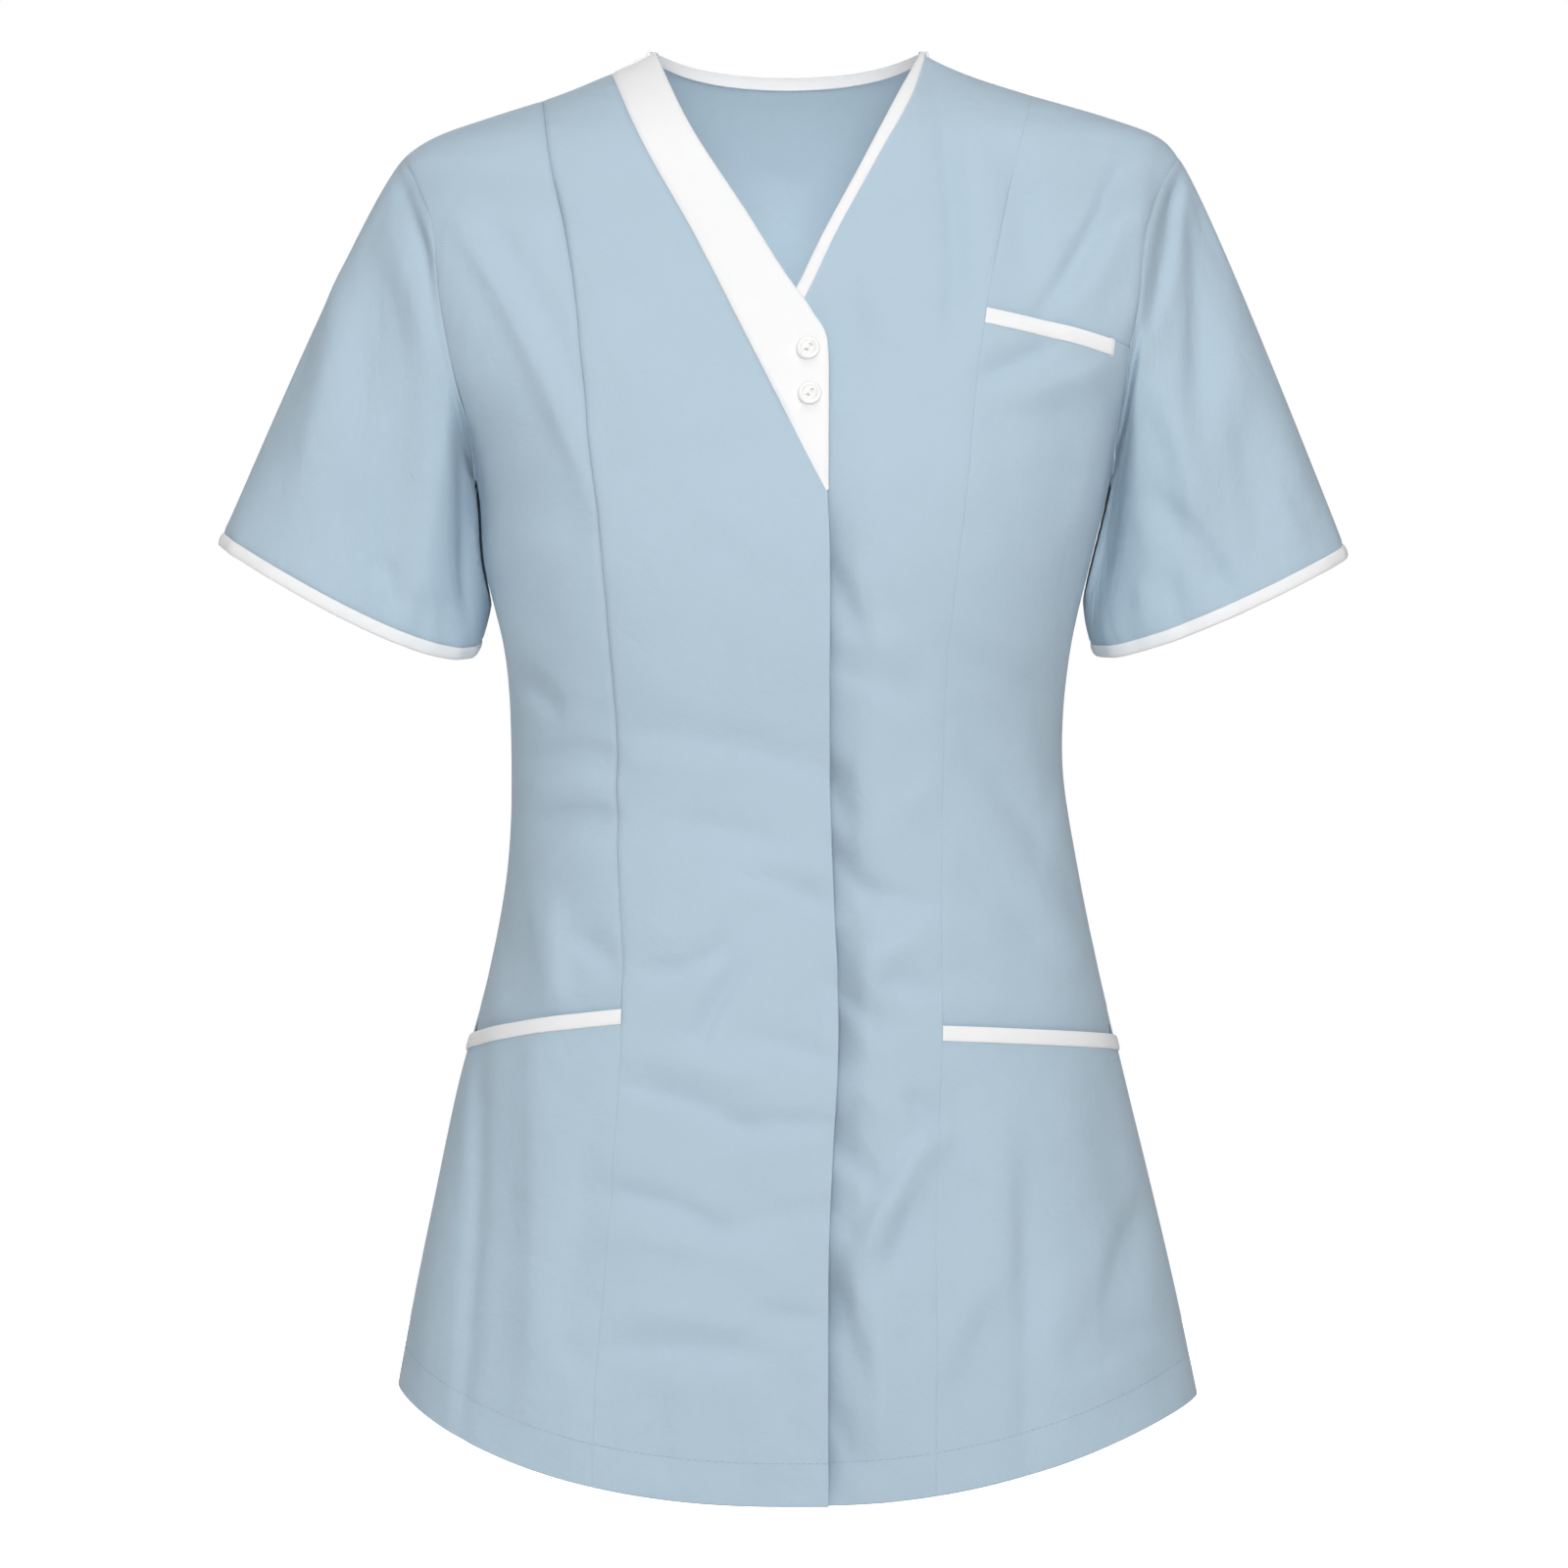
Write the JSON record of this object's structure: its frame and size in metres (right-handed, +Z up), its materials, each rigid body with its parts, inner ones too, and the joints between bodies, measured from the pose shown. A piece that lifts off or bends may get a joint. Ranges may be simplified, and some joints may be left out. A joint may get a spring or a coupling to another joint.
{
  "type": "scrub top",
  "caption": "Short-sleeved fitted scrub top for workwear, hollow as worn, with a banded V neck, overlapped front, chest pocket and two hip pockets.",
  "frame": {"origin": "midway between the two points where the shoulder seams meet the neck, where the shoulders carry the top", "axes": "+Z up, from hem to shoulders; -Y out of the front; -X towards the wearer's right sleeve"},
  "size_m": [0.5442, 0.2362, 0.6904],
  "materials": {
    "blue_cloth": "matt light blue polyester and cotton twill, finely woven, softly creased",
    "white_trim": "matt white polyester and cotton twill, pressed",
    "white_button": "moulded white resin, polished"
  },
  "bodies": {
    "root": {"back": "blue_cloth", "back_neck_binding": "white_trim", "button_lower": "white_button", "button_upper": "white_button", "chest_pocket_trim": "white_trim", "left_cuff_binding": "white_trim", "left_front_centre": "blue_cloth", "left_front_side": "blue_cloth", "left_front_upper_side": "blue_cloth", "left_hip_pocket": "blue_cloth", "left_hip_pocket_trim": "white_trim", "left_neck_binding": "white_trim", "left_sleeve": "blue_cloth", "neck_band": "white_trim", "right_cuff_binding": "white_trim", "right_front_centre": "blue_cloth", "right_front_side": "blue_cloth", "right_hip_pocket": "blue_cloth", "right_hip_pocket_trim": "white_trim", "right_sleeve": "blue_cloth"}
  },
  "joints": []
}
